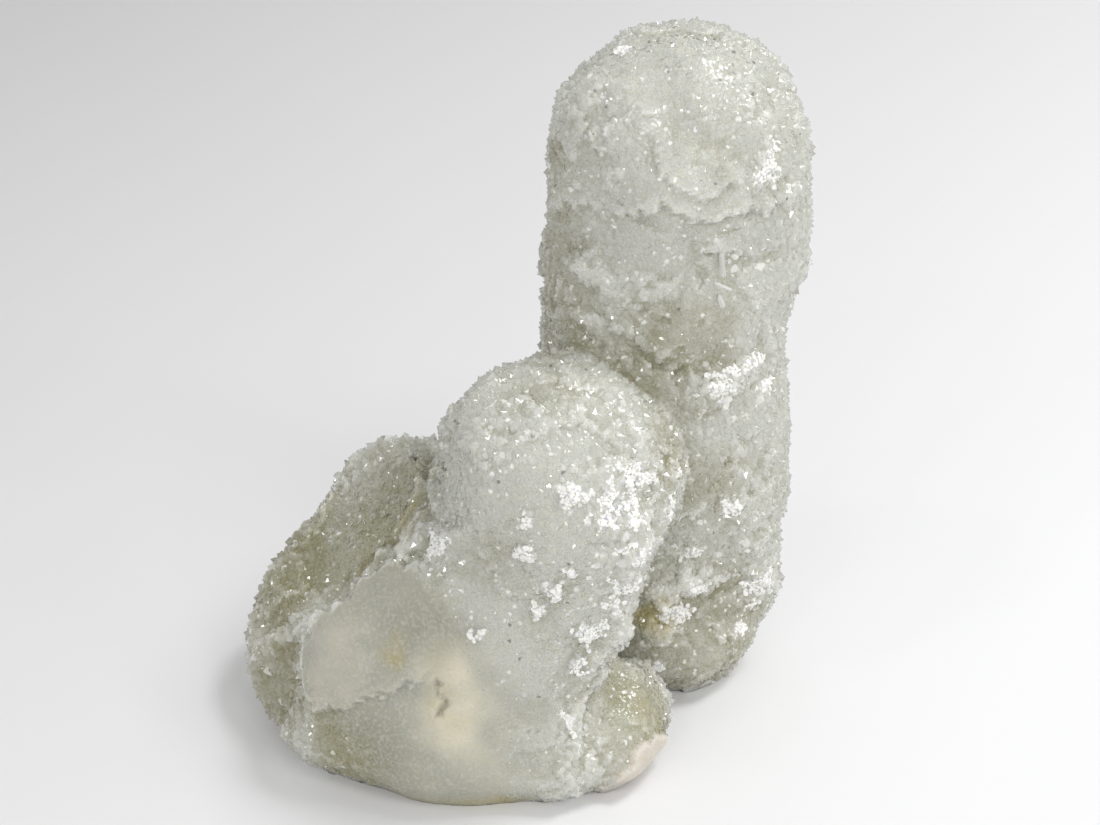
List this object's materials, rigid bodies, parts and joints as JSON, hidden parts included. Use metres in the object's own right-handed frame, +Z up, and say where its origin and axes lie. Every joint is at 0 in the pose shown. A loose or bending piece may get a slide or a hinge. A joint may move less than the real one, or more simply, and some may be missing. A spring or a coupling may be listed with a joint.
{
  "type": "quartz crystal specimen",
  "caption": "Milky sugar quartz specimen: rounded fingers grown together and crusted with tiny points, standing on a flat base.",
  "frame": {"origin": "middle of the specimen's box, at the level of the surface it stands on", "axes": "+Z up along the tall finger, +X to the right and +Y away from the viewer when the waxy foot faces the viewer"},
  "size_m": [0.074, 0.0574, 0.0891],
  "materials": {
    "quartz": "milky translucent quartz with a sugary crust of tiny glossy crystals, waxy where it is bare"
  },
  "bodies": {
    "root": {"quartz_specimen": "quartz"}
  },
  "joints": []
}
